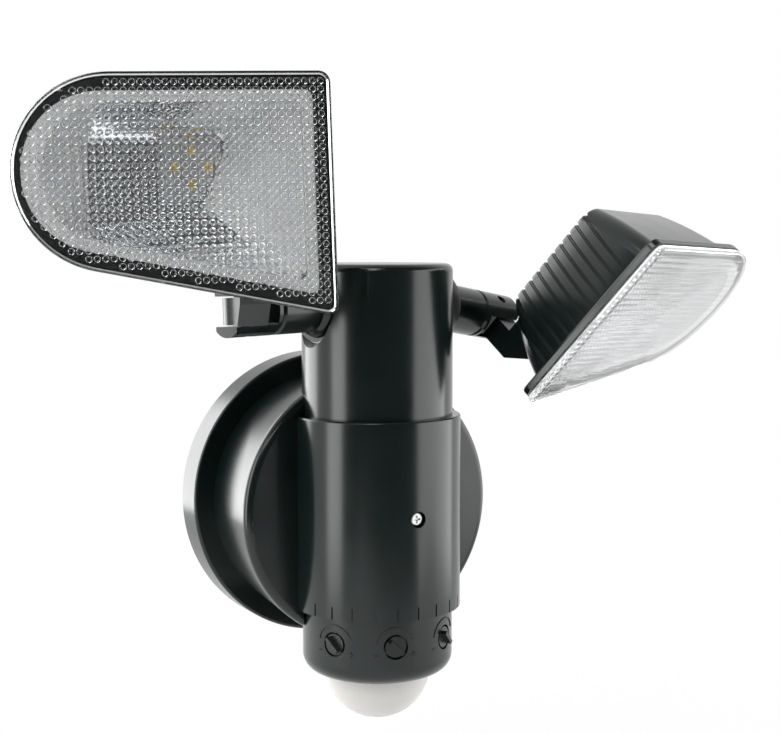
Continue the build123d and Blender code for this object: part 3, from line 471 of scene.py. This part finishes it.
@dataclass(frozen=True)
class Shield:
    """Outline of a lamp head in its u and v: straight end, level top, slanted bottom and round end.

    The straight end lies at start_mm in u, and middle_mm is the middle of its height in v.
    """

    height_mm: float = 83.4
    width_mm: float = 107.2
    start_mm: float = 0.0
    middle_mm: float = 0.0
    taper_deg: float = 12.5
    arc_steps: int = 40
    corner_steps: int = 5

    @property
    def slope(self) -> float:
        """Slope of the bottom edge in radians."""
        return math.radians(self.taper_deg)

    @property
    def top_mm(self) -> float:
        """Height of the top edge in v."""
        return self.middle_mm + self.height_mm / 2

    @property
    def arc(self) -> tuple[float, float, float]:
        """Work out the round end.

        Returns:
            Its middle in u and in v, and its radius.
        """
        cos_s, sin_s = math.cos(self.slope), math.sin(self.slope)
        radius = (self.height_mm * cos_s - self.width_mm * sin_s) / (1 + cos_s - sin_s)
        return self.start_mm + self.width_mm - radius, self.top_mm - radius, radius

    def within(self, side_mm: float, end_mm: float | None = None) -> Shield:
        """Draw the outline in.

        Args:
            side_mm: How far the straight end, the top and the bottom are drawn in.
            end_mm: How far the round end is drawn in; as far as the rest if it is left out.

        Returns:
            The smaller outline.
        """
        end = side_mm if end_mm is None else end_mm
        foot = side_mm * (math.tan(self.slope) + 1 / math.cos(self.slope))
        return replace(self, height_mm=self.height_mm - side_mm - foot, width_mm=self.width_mm - side_mm - end,
                       start_mm=self.start_mm + side_mm, middle_mm=self.middle_mm + (foot - side_mm) / 2)

    def holds(self, u: float, v: float) -> bool:
        """Tell whether a point lies inside the outline.

        Args:
            u: Its place along the head, in millimetres.
            v: Its height, in millimetres.

        Returns:
            True inside.
        """
        mid_u, mid_v, radius = self.arc
        cos_s, sin_s = math.cos(self.slope), math.sin(self.slope)
        du, dv = u - mid_u, v - mid_v
        if u < self.start_mm or v > self.top_mm or du * sin_s - dv * cos_s > radius:
            return False
        past_arc = du > 0.0 and (dv >= 0.0 or du * cos_s + dv * sin_s > 0.0)
        return not past_arc or math.hypot(du, dv) < radius

    def face(self, mesh: bmesh.types.BMesh, corner_mm: float, depth_mm: float) -> bmesh.types.BMFace:
        """Draw the outline as one flat face.

        Args:
            mesh: The bmesh that gets the face, in head axes (u, w, v) in metres.
            corner_mm: Radius of its two corners.
            depth_mm: Its depth w behind the front of the lens.

        Returns:
            The face.
        """
        mid_u, mid_v, radius = self.arc

        def at(u: float, v: float) -> Vector:
            """Point of the face in head axes."""
            return Vector((u, depth_mm, v)) * MM

        old = set(mesh.verts)
        start = mesh.verts.new(at(mid_u, self.top_mm))
        swept = bmesh.ops.spin(mesh, geom=[start], cent=at(mid_u, mid_v), axis=(0.0, 1.0, 0.0), dvec=(0.0, 0.0, 0.0),
                               angle=math.pi - self.slope, steps=self.arc_steps, use_merge=False, use_duplicate=False)
        last = swept["geom_last"][0]
        low_u = mid_u + radius * math.sin(self.slope)
        foot_v = mid_v - radius * math.cos(self.slope) - (low_u - self.start_mm) * math.tan(self.slope)
        foot = mesh.verts.new(at(self.start_mm, foot_v))
        top = mesh.verts.new(at(self.start_mm, self.top_mm))
        for pair in ((last, foot), (foot, top), (top, start)):
            mesh.edges.new(pair)
        edges = dict.fromkeys(edge for vert in mesh.verts if vert not in old for edge in vert.link_edges)
        bmesh.ops.contextual_create(mesh, geom=list(edges))
        bmesh.ops.bevel(mesh, geom=[foot, top], offset=corner_mm * MM, offset_type="OFFSET",
                        segments=self.corner_steps, profile=0.5, affect="VERTICES", material=-1)
        return next(face for face in mesh.faces if not old.intersection(face.verts))

    def loop(self, mesh: bmesh.types.BMesh, corner_mm: float, depth_mm: float) -> list[bmesh.types.BMEdge]:
        """Draw the outline as a closed loop of edges with no face.

        Args:
            mesh: The bmesh that gets the loop.
            corner_mm: Radius of its two corners.
            depth_mm: Its depth w behind the front of the lens.

        Returns:
            The loop's edges.
        """
        face = self.face(mesh, corner_mm, depth_mm)
        edges = list(face.edges)
        bmesh.ops.delete(mesh, geom=[face], context="FACES_ONLY")
        return edges


@dataclass(frozen=True)
class LensSizes:
    """The clear plate, the groove round its back and the beads inside that."""

    thick_mm: float = 2.6
    corner_mm: float = 4.0
    front_edge_mm: float = 0.5
    front_round: float = 0.29
    back_edge_mm: float = 0.3
    groove_mm: float = 1.4
    groove_width_mm: float = 0.8
    groove_depth_mm: float = 0.75
    groove_draft_mm: float = 0.05
    back_mm: float = 2.25
    bead_mm: float = 1.22
    bead_rise_mm: float = 0.62
    bead_steps: int = 4
    pitch_mm: float = 2.75
    first_mm: float = 3.45
    margin_mm: float = 0.3

    @property
    def section(self) -> tuple[tuple[float, float], ...]:
        """Work out the plate's edge.

        Returns:
            Inset and depth of each of its corners, from the front round to the inner side of the groove.
        """
        edge, soft = self.front_edge_mm, self.front_edge_mm * self.front_round
        thick, back, groove = self.thick_mm, self.back_edge_mm, self.groove_mm
        return ((edge, 0.0), (soft, soft), (0.0, edge), (0.0, thick - back), (back, thick),
                (groove - self.groove_width_mm, thick),
                (groove - self.groove_draft_mm, thick - self.groove_depth_mm), (groove, self.back_mm))


@dataclass(frozen=True)
class SealSizes:
    """The black seal on the housing's rim: a wide band along the straight edges, a narrow one at the round end."""

    rim_mm: float = 3.4
    proud_mm: float = 0.12
    thick_mm: float = 0.22
    margin_mm: float = 0.5
    corner_mm: float = 2.5
    side_mm: float = 6.2
    end_mm: float = 3.6
    mouth_corner_mm: float = 3.0


@dataclass(frozen=True)
class TraySizes:
    """The bright tray: a flange on the rim, a lip through the opening, and walls down to a floor with four corners."""

    brim_proud_mm: float = 0.08
    edge_proud_mm: float = 0.05
    opening_mm: float = 9.9
    corner_mm: float = 4.2
    lip_mm: float = 2.0
    slack_mm: float = 0.1
    floor_mm: float = 28.9
    floor_corners_mm: tuple[tuple[float, float], ...] = ((79.2, 20.5), (32.0, 20.5), (41.0, -1.8), (81.0, -8.0))
    wall_mm: float = 0.4
    mirror_mm: tuple[float, float] = (30.0, 78.0)
    flat_deg: float = 0.5
    smooth_deg: float = 10.0


@dataclass(frozen=True)
class BoardSizes:
    """The light board where it shows through the tray's floor, with its four chips in a cross."""

    corners_mm: tuple[tuple[float, float], ...] = ((55.0, 19.8), (35.0, 19.8), (41.5, 0.5), (55.5, -1.5))
    proud_mm: float = 0.05
    thick_mm: float = 0.15
    round_mm: float = 1.5
    round_steps: int = 3
    chip_mm: float = 3.5
    chip_thick_mm: float = 0.8
    chip_proud_mm: float = 0.5
    chip_pitch_mm: float = 5.6
    chip_centre_mm: tuple[float, float] = (45.0, 11.8)
    frame_mm: float = 0.4
    window_draft_mm: float = 0.05
    window_sunk_mm: float = 0.15


@dataclass
class LampHead:
    """One lamp head: beaded lens, seal, bright tray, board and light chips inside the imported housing."""

    side: Side
    shield: Shield = Shield()
    lens: LensSizes = LensSizes()
    seal: SealSizes = SealSizes()
    tray: TraySizes = TraySizes()
    board: BoardSizes = BoardSizes()
    place: Matrix = field(init=False)

    def __post_init__(self) -> None:
        """Find where the head stands."""
        self.place = HeadAxes(self.side).matrix()

    def build(self) -> list[bpy.types.Object]:
        """Make every new piece of the head.

        Returns:
            The new pieces, riding on the head's body.
        """
        made = [self._lens(), self._seal(), self._tray(), self._board(), self._chips()]
        for piece in made:
            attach(piece, f"{self.side.label}_head")
        return made

    def _finish(self, name: str, mesh: bmesh.types.BMesh, finish: Finish, slot: str, *nodes: str,
                smooth_deg: float = SMOOTH_DEG) -> bpy.types.Object:
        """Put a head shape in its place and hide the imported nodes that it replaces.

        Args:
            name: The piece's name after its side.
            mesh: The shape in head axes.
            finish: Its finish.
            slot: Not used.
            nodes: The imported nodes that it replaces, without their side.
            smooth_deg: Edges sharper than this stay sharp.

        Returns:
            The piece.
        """
        label = self.side.label
        bmesh.ops.transform(mesh, matrix=self.place, verts=mesh.verts)
        piece = new_piece(f"{label}_{name}", mesh, finish, smooth_deg)
        if nodes:
            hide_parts(*(f"{label}_{node}" for node in nodes))
        return piece

    def _mouth(self, mesh: bmesh.types.BMesh, depth_mm: float) -> list[bmesh.types.BMEdge]:
        """Draw the opening in the seal.

        Args:
            mesh: The bmesh that gets the loop.
            depth_mm: Its depth behind the front of the lens.

        Returns:
            The loop's edges.
        """
        inner = self.shield.within(self.seal.side_mm, self.seal.end_mm)
        return inner.loop(mesh, self.seal.mouth_corner_mm, depth_mm)

    def _lens(self) -> bpy.types.Object:
        """Make the clear plate: rounded front edge, a light-catching groove round its back, and beads inside that.

        Returns:
            The lens.
        """
        mesh = bmesh.new()
        loops = [self.shield.within(inset).loop(mesh, self.lens.corner_mm - inset, depth)
                 for inset, depth in self.lens.section]
        for first, second in zip(loops, loops[1:]):
            bmesh.ops.bridge_loops(mesh, edges=first + second)
        bmesh.ops.contextual_create(mesh, geom=loops[0])
        self._add_beads(mesh)
        rest = [item for item in mesh.edges if item.is_boundary]
        bmesh.ops.triangle_fill(mesh, edges=rest, use_beauty=True, use_dissolve=False)
        return self._finish("lens_plate", mesh, CLEAR_LENS, "clear_lens", "lens")

    def _bead_tile(self) -> bpy.types.Mesh:
        """Make one bead with the flat square round it, open behind, at the origin of the head axes.

        Returns:
            The tile.
        """
        size = self.lens
        tile = bmesh.new()
        bmesh.ops.create_grid(tile, x_segments=3, y_segments=3, size=size.pitch_mm / 2 * MM)
        bmesh.ops.delete(tile, geom=[vert for vert in tile.verts if not vert.is_boundary], context="VERTS")
        ring = tile.edges[:]
        for step in range(size.bead_steps):
            turn = math.pi / 2 * step / size.bead_steps
            made = bmesh.ops.extrude_edge_only(tile, edges=ring)["geom"]
            verts = {item for item in made if isinstance(item, bmesh.types.BMVert)}
            ring = [item for item in made if isinstance(item, bmesh.types.BMEdge) and verts.issuperset(item.verts)]
            for vert in verts:
                reach = vert.co.xy.normalized() * size.bead_mm * math.cos(turn) * MM
                vert.co = (reach.x, reach.y, size.bead_rise_mm * math.sin(turn) * MM)
        bmesh.ops.contextual_create(tile, geom=ring)
        bmesh.ops.transform(tile, matrix=Matrix.Rotation(math.radians(-90.0), 4, "X"), verts=tile.verts)
        return mesh_data("bead_tile", tile)

    def _add_beads(self, mesh: bmesh.types.BMesh) -> None:
        """Lay a square grid of beads on the back of the lens, wherever a whole tile fits.

        Args:
            mesh: The lens, open where its back will be.
        """
        size = self.lens
        tile = self._bead_tile()
        room = self.shield.within(size.groove_mm + size.margin_mm)
        half = size.pitch_mm / 2
        last = Vector()
        count = 0
        for row in range(int(self.shield.height_mm / size.pitch_mm)):
            v = self.shield.top_mm - size.first_mm - row * size.pitch_mm
            for column in range(int(self.shield.width_mm / size.pitch_mm)):
                u = size.first_mm + column * size.pitch_mm
                if all(room.holds(u + du, v + dv) for du in (-half, half) for dv in (-half, half)):
                    here = Vector((u, size.back_mm, v)) * MM
                    tile.transform(Matrix.Translation(here - last))
                    mesh.from_mesh(tile)
                    last = here
                    count += 1
        bpy.data.meshes.remove(tile)
        bmesh.ops.remove_doubles(mesh, verts=mesh.verts, dist=BEAD_WELD)
        LOG.info("%s lens has %d beads", self.side.label, count)

    def _seal(self) -> bpy.types.Object:
        """Make the black seal on the rim behind the lens.

        Returns:
            The seal.
        """
        mesh = bmesh.new()
        depth = self.seal.rim_mm - self.seal.proud_mm
        outer = self.shield.within(self.lens.groove_mm + self.seal.margin_mm)
        edges = outer.loop(mesh, self.seal.corner_mm, depth) + self._mouth(mesh, depth)
        bmesh.ops.bridge_loops(mesh, edges=edges)
        thicken(mesh, (0.0, self.seal.thick_mm * MM, 0.0))
        return self._finish("lens_seal", mesh, BLACK_RUBBER, "black_rubber", "lens_gasket")

    def _tray(self) -> bpy.types.Object:
        """Make the bright tray: a mirror behind the lip in the middle of its length, and satin everywhere else.

        Returns:
            The tray.
        """
        size, rim = self.tray, self.seal.rim_mm
        mesh = bmesh.new()
        lip_depth = rim + size.lip_mm
        opening = self.shield.within(size.opening_mm)
        brim = self._mouth(mesh, rim - size.brim_proud_mm)
        edge = opening.loop(mesh, size.corner_mm, rim - size.edge_proud_mm)
        throat = opening.loop(mesh, size.corner_mm, lip_depth)
        bmesh.ops.bridge_loops(mesh, edges=brim + edge)
        bmesh.ops.bridge_loops(mesh, edges=edge + throat)
        corners = [mesh.verts.new(Vector((u, size.floor_mm, v)) * MM) for u, v in size.floor_corners_mm]
        around = list(dict.fromkeys(vert for item in throat for vert in item.verts))
        hull = bmesh.ops.convex_hull(mesh, input=around + corners)["geom"]
        lid = [item for item in hull if isinstance(item, bmesh.types.BMFace)
               and all(vert.co.y < (lip_depth + size.slack_mm) * MM for vert in item.verts)]
        bmesh.ops.delete(mesh, geom=lid, context="FACES")
        bmesh.ops.dissolve_limit(mesh, angle_limit=math.radians(size.flat_deg), verts=mesh.verts, edges=mesh.edges)
        bmesh.ops.recalc_face_normals(mesh, faces=mesh.faces)
        bmesh.ops.solidify(mesh, geom=mesh.faces[:], thickness=-size.wall_mm * MM)
        first, last = size.mirror_mm
        for face in mesh.faces:
            middle = face.calc_center_median() / MM
            face.material_index = int(middle.y < lip_depth or not first < middle.x < last)
        piece = self._finish("bright_tray", mesh, SILVER_COAT, "reflector_silver", "reflector",
                             smooth_deg=size.smooth_deg)
        piece.data.materials.append(SATIN_COAT.material())
        return piece

    def _board(self) -> bpy.types.Object:
        """Make the pale light board where it shows through the floor of the tray.

        Returns:
            The board's face.
        """
        size = self.board
        mesh = bmesh.new()
        depth = self.tray.floor_mm - size.proud_mm
        face = mesh.faces.new([mesh.verts.new(Vector((u, depth, v)) * MM) for u, v in size.corners_mm])
        bmesh.ops.bevel(mesh, geom=list(face.verts), offset=size.round_mm * MM, offset_type="OFFSET",
                        segments=size.round_steps, profile=0.5, affect="VERTICES", material=-1)
        thicken(mesh, (0.0, -size.thick_mm * MM, 0.0))
        return self._finish("board_face", mesh, BOARD_WHITE, "board_aluminium")

    def _chips(self) -> bpy.types.Object:
        """Make the four light chips, each a pale frame round a yellow window.

        Returns:
            The chips.
        """
        size = self.board
        mesh = bmesh.new()
        wide, depth = size.chip_mm * MM, (self.tray.floor_mm - size.chip_proud_mm) * MM
        shape = Matrix.Diagonal((wide, size.chip_thick_mm * MM, wide, 1.0))
        frame_index, window_index = 1, 0
        for du, dv in ((-1, 0), (1, 0), (0, -1), (0, 1)):
            u = size.chip_centre_mm[0] + du * size.chip_pitch_mm
            v = size.chip_centre_mm[1] + dv * size.chip_pitch_mm
            place = Matrix.Translation((u * MM, depth, v * MM))
            made = bmesh.ops.create_cube(mesh, size=1.0, matrix=place @ shape)
            faces = {face for vert in made["verts"] for face in vert.link_faces}
            for face in faces:
                face.material_index = frame_index
            front = min(faces, key=lambda face: face.calc_center_median().y)
            bmesh.ops.inset_region(mesh, faces=[front], thickness=size.frame_mm * MM, depth=0.0)
            bmesh.ops.inset_region(mesh, faces=[front], thickness=size.window_draft_mm * MM,
                                   depth=-size.window_sunk_mm * MM)
            front.material_index = window_index
        piece = self._finish("light_chips", mesh, CHIP_YELLOW, "chip_yellow", "led_chips")
        piece.data.materials.append(CHIP_FRAME.material())
        return piece


# ---------------------------------------------------------------------------------------------- trimmer marks


@dataclass(frozen=True)
class KnobMarks:
    """Fine raised marks on the sensor ring: an arc over each trimmer, with a minus and a plus below its ends."""

    knobs: tuple[str, ...] = ("knob_left", "knob_middle", "knob_right")
    axis_mm: tuple[float, float] = (0.0, -60.0)
    arc_mm: float = 7.7
    arc_start_deg: float = 20.0
    arc_turn_deg: float = 150.0
    arc_steps: int = 18
    stroke_mm: float = 0.5
    sunk_mm: float = 0.1
    proud_mm: float = 0.28
    sign_mm: tuple[float, float] = (7.4, -3.2)
    sign_length_mm: float = 2.0
    upright_mm: float = 0.02

    def build(self) -> bpy.types.Object:
        """Make the marks of all three trimmers as one piece.

        Returns:
            The piece, riding on the sensor's body.
        """
        low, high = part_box("sensor_ring")
        radius = (high[0] - low[0]) / 2
        mesh = bmesh.new()
        for knob in self.knobs:
            first, last = (Vector(corner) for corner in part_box(knob))
            middle = (first + last) / 2
            turn = math.atan2(middle.x - self.axis_mm[0] * MM, self.axis_mm[1] * MM - middle.y)
            self._wrap(mesh, self._flat_marks(), turn, radius, middle.z)
        piece = new_piece("knob_marks", mesh, BLACK_RUBBER)
        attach(piece, "sensor")
        return piece

    def _flat_marks(self) -> bpy.types.Mesh:
        """Draw one trimmer's marks flat: x along the ring, y up and z out of it, in metres.

        Returns:
            The flat marks.
        """
        flat = bmesh.new()
        origin, out = (0.0, 0.0, 0.0), (0.0, 0.0, 1.0)
        deep = (self.sunk_mm + self.proud_mm) * MM
        ends = [flat.verts.new(((self.arc_mm + side * self.stroke_mm / 2) * MM, 0.0, -self.sunk_mm * MM))
                for side in (-1, 1)]
        flat.edges.new(ends)
        bmesh.ops.rotate(flat, verts=ends, cent=origin,
                         matrix=Matrix.Rotation(math.radians(self.arc_start_deg), 3, "Z"))
        bmesh.ops.spin(flat, geom=flat.verts[:] + flat.edges[:], cent=origin, axis=out, dvec=origin,
                       angle=math.radians(self.arc_turn_deg), steps=self.arc_steps, use_merge=False,
                       use_duplicate=False)
        thicken(flat, (0.0, 0.0, deep))
        away, below = self.sign_mm
        long, thin = self.sign_length_mm, self.stroke_mm
        for x, wide, high, lift in ((-away, long, thin, 0.0), (away, long, thin, 0.0),
                                    (away, thin, long, self.upright_mm)):
            place = Matrix.Translation((x * MM, below * MM, (self.proud_mm - self.sunk_mm + lift) / 2 * MM))
            shape = Matrix.Diagonal((wide * MM, high * MM, deep + lift * MM, 1.0))
            bmesh.ops.create_cube(flat, size=1.0, matrix=place @ shape)
        return mesh_data("flat_marks", flat)

    def _wrap(self, mesh: bmesh.types.BMesh, marks: bpy.types.Mesh, turn: float, radius: float, height: float) -> None:
        """Bend flat marks round the ring.

        Args:
            mesh: The bmesh that gets them.
            marks: The flat marks; they are removed.
            turn: Where their middle stands round the column's axis, in radians from the front.
            radius: Radius of the ring.
            height: Height of their middle.
        """
        old = len(mesh.verts)
        mesh.from_mesh(marks)
        bpy.data.meshes.remove(marks)
        mesh.verts.ensure_lookup_table()
        for vert in mesh.verts[old:]:
            angle = turn + vert.co.x / radius
            reach = radius + vert.co.z
            vert.co = (self.axis_mm[0] * MM + reach * math.sin(angle), self.axis_mm[1] * MM - reach * math.cos(angle),
                       height + vert.co.y)


# ---------------------------------------------------------------------------------------------- studio


@dataclass(frozen=True)
class Softbox:
    """A rectangular lamp that looks at the light."""

    name: str
    place: tuple[float, float, float]
    size: tuple[float, float]
    radiance: float

    def build(self, aim: Vector) -> None:
        """Make the lamp.

        Args:
            aim: The point it looks at.
        """
        data = bpy.data.lights.new(self.name, "AREA")
        data.shape = "RECTANGLE"
        data.size, data.size_y = self.size
        data.energy = self.radiance * math.pi * self.size[0] * self.size[1]
        lamp = new_object(self.name, data)
        lamp.location = self.place
        lamp.rotation_euler = (aim - Vector(self.place)).to_track_quat("-Z", "Y").to_euler()
        lamp.visible_camera = False


@dataclass(frozen=True)
class Studio:
    """Camera, lamps, world and the pale floor."""

    camera_mm: tuple[float, float, float] = (-278.88, -574.93, 107.50)
    aim_mm: tuple[float, float, float] = (5.91, -59.87, 56.53)
    focal_px: float = 1477.5
    sensor_mm: float = 36.0
    nearest: float = 0.01
    bounces: int = 24
    glass_bounces: int = 20
    gloss_bounces: int = 8
    lamps: tuple[Softbox, ...] = (
        Softbox("left_softbox", (-1.25, -0.10, 0.08), (0.50, 1.3), 4.6),
        Softbox("back_left_softbox", (-0.66, 1.05, 0.28), (0.9, 1.2), 4.6),
        Softbox("right_softbox", (0.97, -0.60, 0.04), (1.45, 1.1), 3.2),
        Softbox("front_softbox", (-0.68, -0.57, 0.88), (0.8, 0.6), 5.4),
    )
    dim_room: tuple[float, float, float] = (0.07, 0.073, 0.075)
    room_span: tuple[float, float] = (0.25, 0.8)
    backdrop_span: tuple[float, float] = (-0.25, 0.35)
    floor_z: float = -0.16
    floor_half: float = 0.6
    floor_grey: tuple[float, float, float] = (0.85, 0.85, 0.85)
    floor_span: tuple[float, float] = (0.2, 0.55)
    floor_white: float = 0.88

    def build(self) -> None:
        """Make the whole studio."""
        scene = bpy.context.scene
        scene.view_settings.view_transform = "Standard"
        scene.cycles.max_bounces = self.bounces
        scene.cycles.transmission_bounces = self.glass_bounces
        scene.cycles.glossy_bounces = self.gloss_bounces
        self._camera()
        self._world()
        self._floor()
        for lamp in self.lamps:
            lamp.build(Vector(self.aim_mm) * MM)

    def _camera(self) -> None:
        """Set up the camera at the photo's angle."""
        data = bpy.data.cameras.new("camera")
        data.sensor_width = self.sensor_mm
        data.lens = self.focal_px / PHOTO_WIDTH_PX * self.sensor_mm
        data.clip_start = self.nearest
        obj = new_object("camera", data)
        obj.location = Vector(self.camera_mm) * MM
        look = Vector(self.aim_mm) - Vector(self.camera_mm)
        obj.rotation_euler = look.to_track_quat("-Z", "Y").to_euler()
        bpy.context.scene.camera = obj

    def _world(self) -> None:
        """Show white to the camera, and white behind to gloss and glass.

        All other rays meet a room that is pale behind the light and dim in front of it.
        """
        world = bpy.data.worlds.new("studio")
        bpy.context.scene.world = world
        world.use_nodes = True
        world.node_tree.nodes.clear()
        wiring = Wiring(world.node_tree)
        place = wiring.add("ShaderNodeTexCoord").outputs["Generated"]
        away = wiring.add("ShaderNodeSeparateXYZ", {"Vector": place}).outputs["Y"]
        share = wiring.add("ShaderNodeMapRange", {"Value": away, "From Min": -1.0, "From Max": 1.0}).outputs["Result"]
        shades = wiring.ramp(share, self.room_span, self.dim_room, WHITE)
        room = wiring.add("ShaderNodeBackground", {"Color": shades})
        white = wiring.add("ShaderNodeBackground", {"Color": (*WHITE, 1.0)})
        rays = wiring.add("ShaderNodeLightPath").outputs
        bounced = wiring.combine("MAXIMUM", rays["Is Glossy Ray"], rays["Is Transmission Ray"])
        backdrop = wiring.combine("MULTIPLY", bounced, wiring.ease(away, self.backdrop_span))
        seen = wiring.combine("MAXIMUM", rays["Is Camera Ray"], backdrop)
        surface = wiring.blend(seen, room.outputs["Background"], white.outputs["Background"])
        wiring.add("ShaderNodeOutputWorld", {"Surface": surface})

    def _floor(self) -> None:
        """Lay a pale floor that keeps a faint shadow and fades to white."""
        mesh = bmesh.new()
        bmesh.ops.create_grid(mesh, x_segments=1, y_segments=1, size=self.floor_half)
        bmesh.ops.translate(mesh, verts=mesh.verts, vec=(0.0, 0.0, self.floor_z))
        mat = bpy.data.materials.new("pale_floor")
        mat.use_nodes = True
        mat.node_tree.nodes.clear()
        wiring = Wiring(mat.node_tree)
        matte = wiring.add("ShaderNodeBsdfDiffuse", {"Color": (*self.floor_grey, 1.0)})
        glow = wiring.add("ShaderNodeEmission", {"Color": (*WHITE, 1.0)})
        rays = wiring.add("ShaderNodeLightPath").outputs
        seen = wiring.combine("MAXIMUM", rays["Is Camera Ray"], rays["Is Transmission Ray"])
        place = wiring.add("ShaderNodeTexCoord").outputs["Object"]
        away = wiring.add("ShaderNodeVectorMath", {0: place})
        away.operation = "LENGTH"
        fade = wiring.ease(away.outputs["Value"], self.floor_span, self.floor_white)
        surface = wiring.blend(wiring.combine("MULTIPLY", fade, seen), matte.outputs["BSDF"], glow.outputs["Emission"])
        wiring.add("ShaderNodeOutputMaterial", {"Surface": surface})
        data = mesh_data("floor", mesh)
        data.materials.append(mat)
        obj = new_object("floor", data)


def main() -> None:
    """Load the frame, dress it and build the studio."""
    logging.basicConfig(level=logging.INFO, format="%(name)s: %(message)s")
    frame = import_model()
    Studio().build()
    dress_frame(frame["nodes"])
    for side in Side:
        for piece in LampHead(side).build():
            LOG.info("made %s", piece.name)
    LOG.info("made %s", KnobMarks().build().name)


if __name__ == "__main__":
    main()
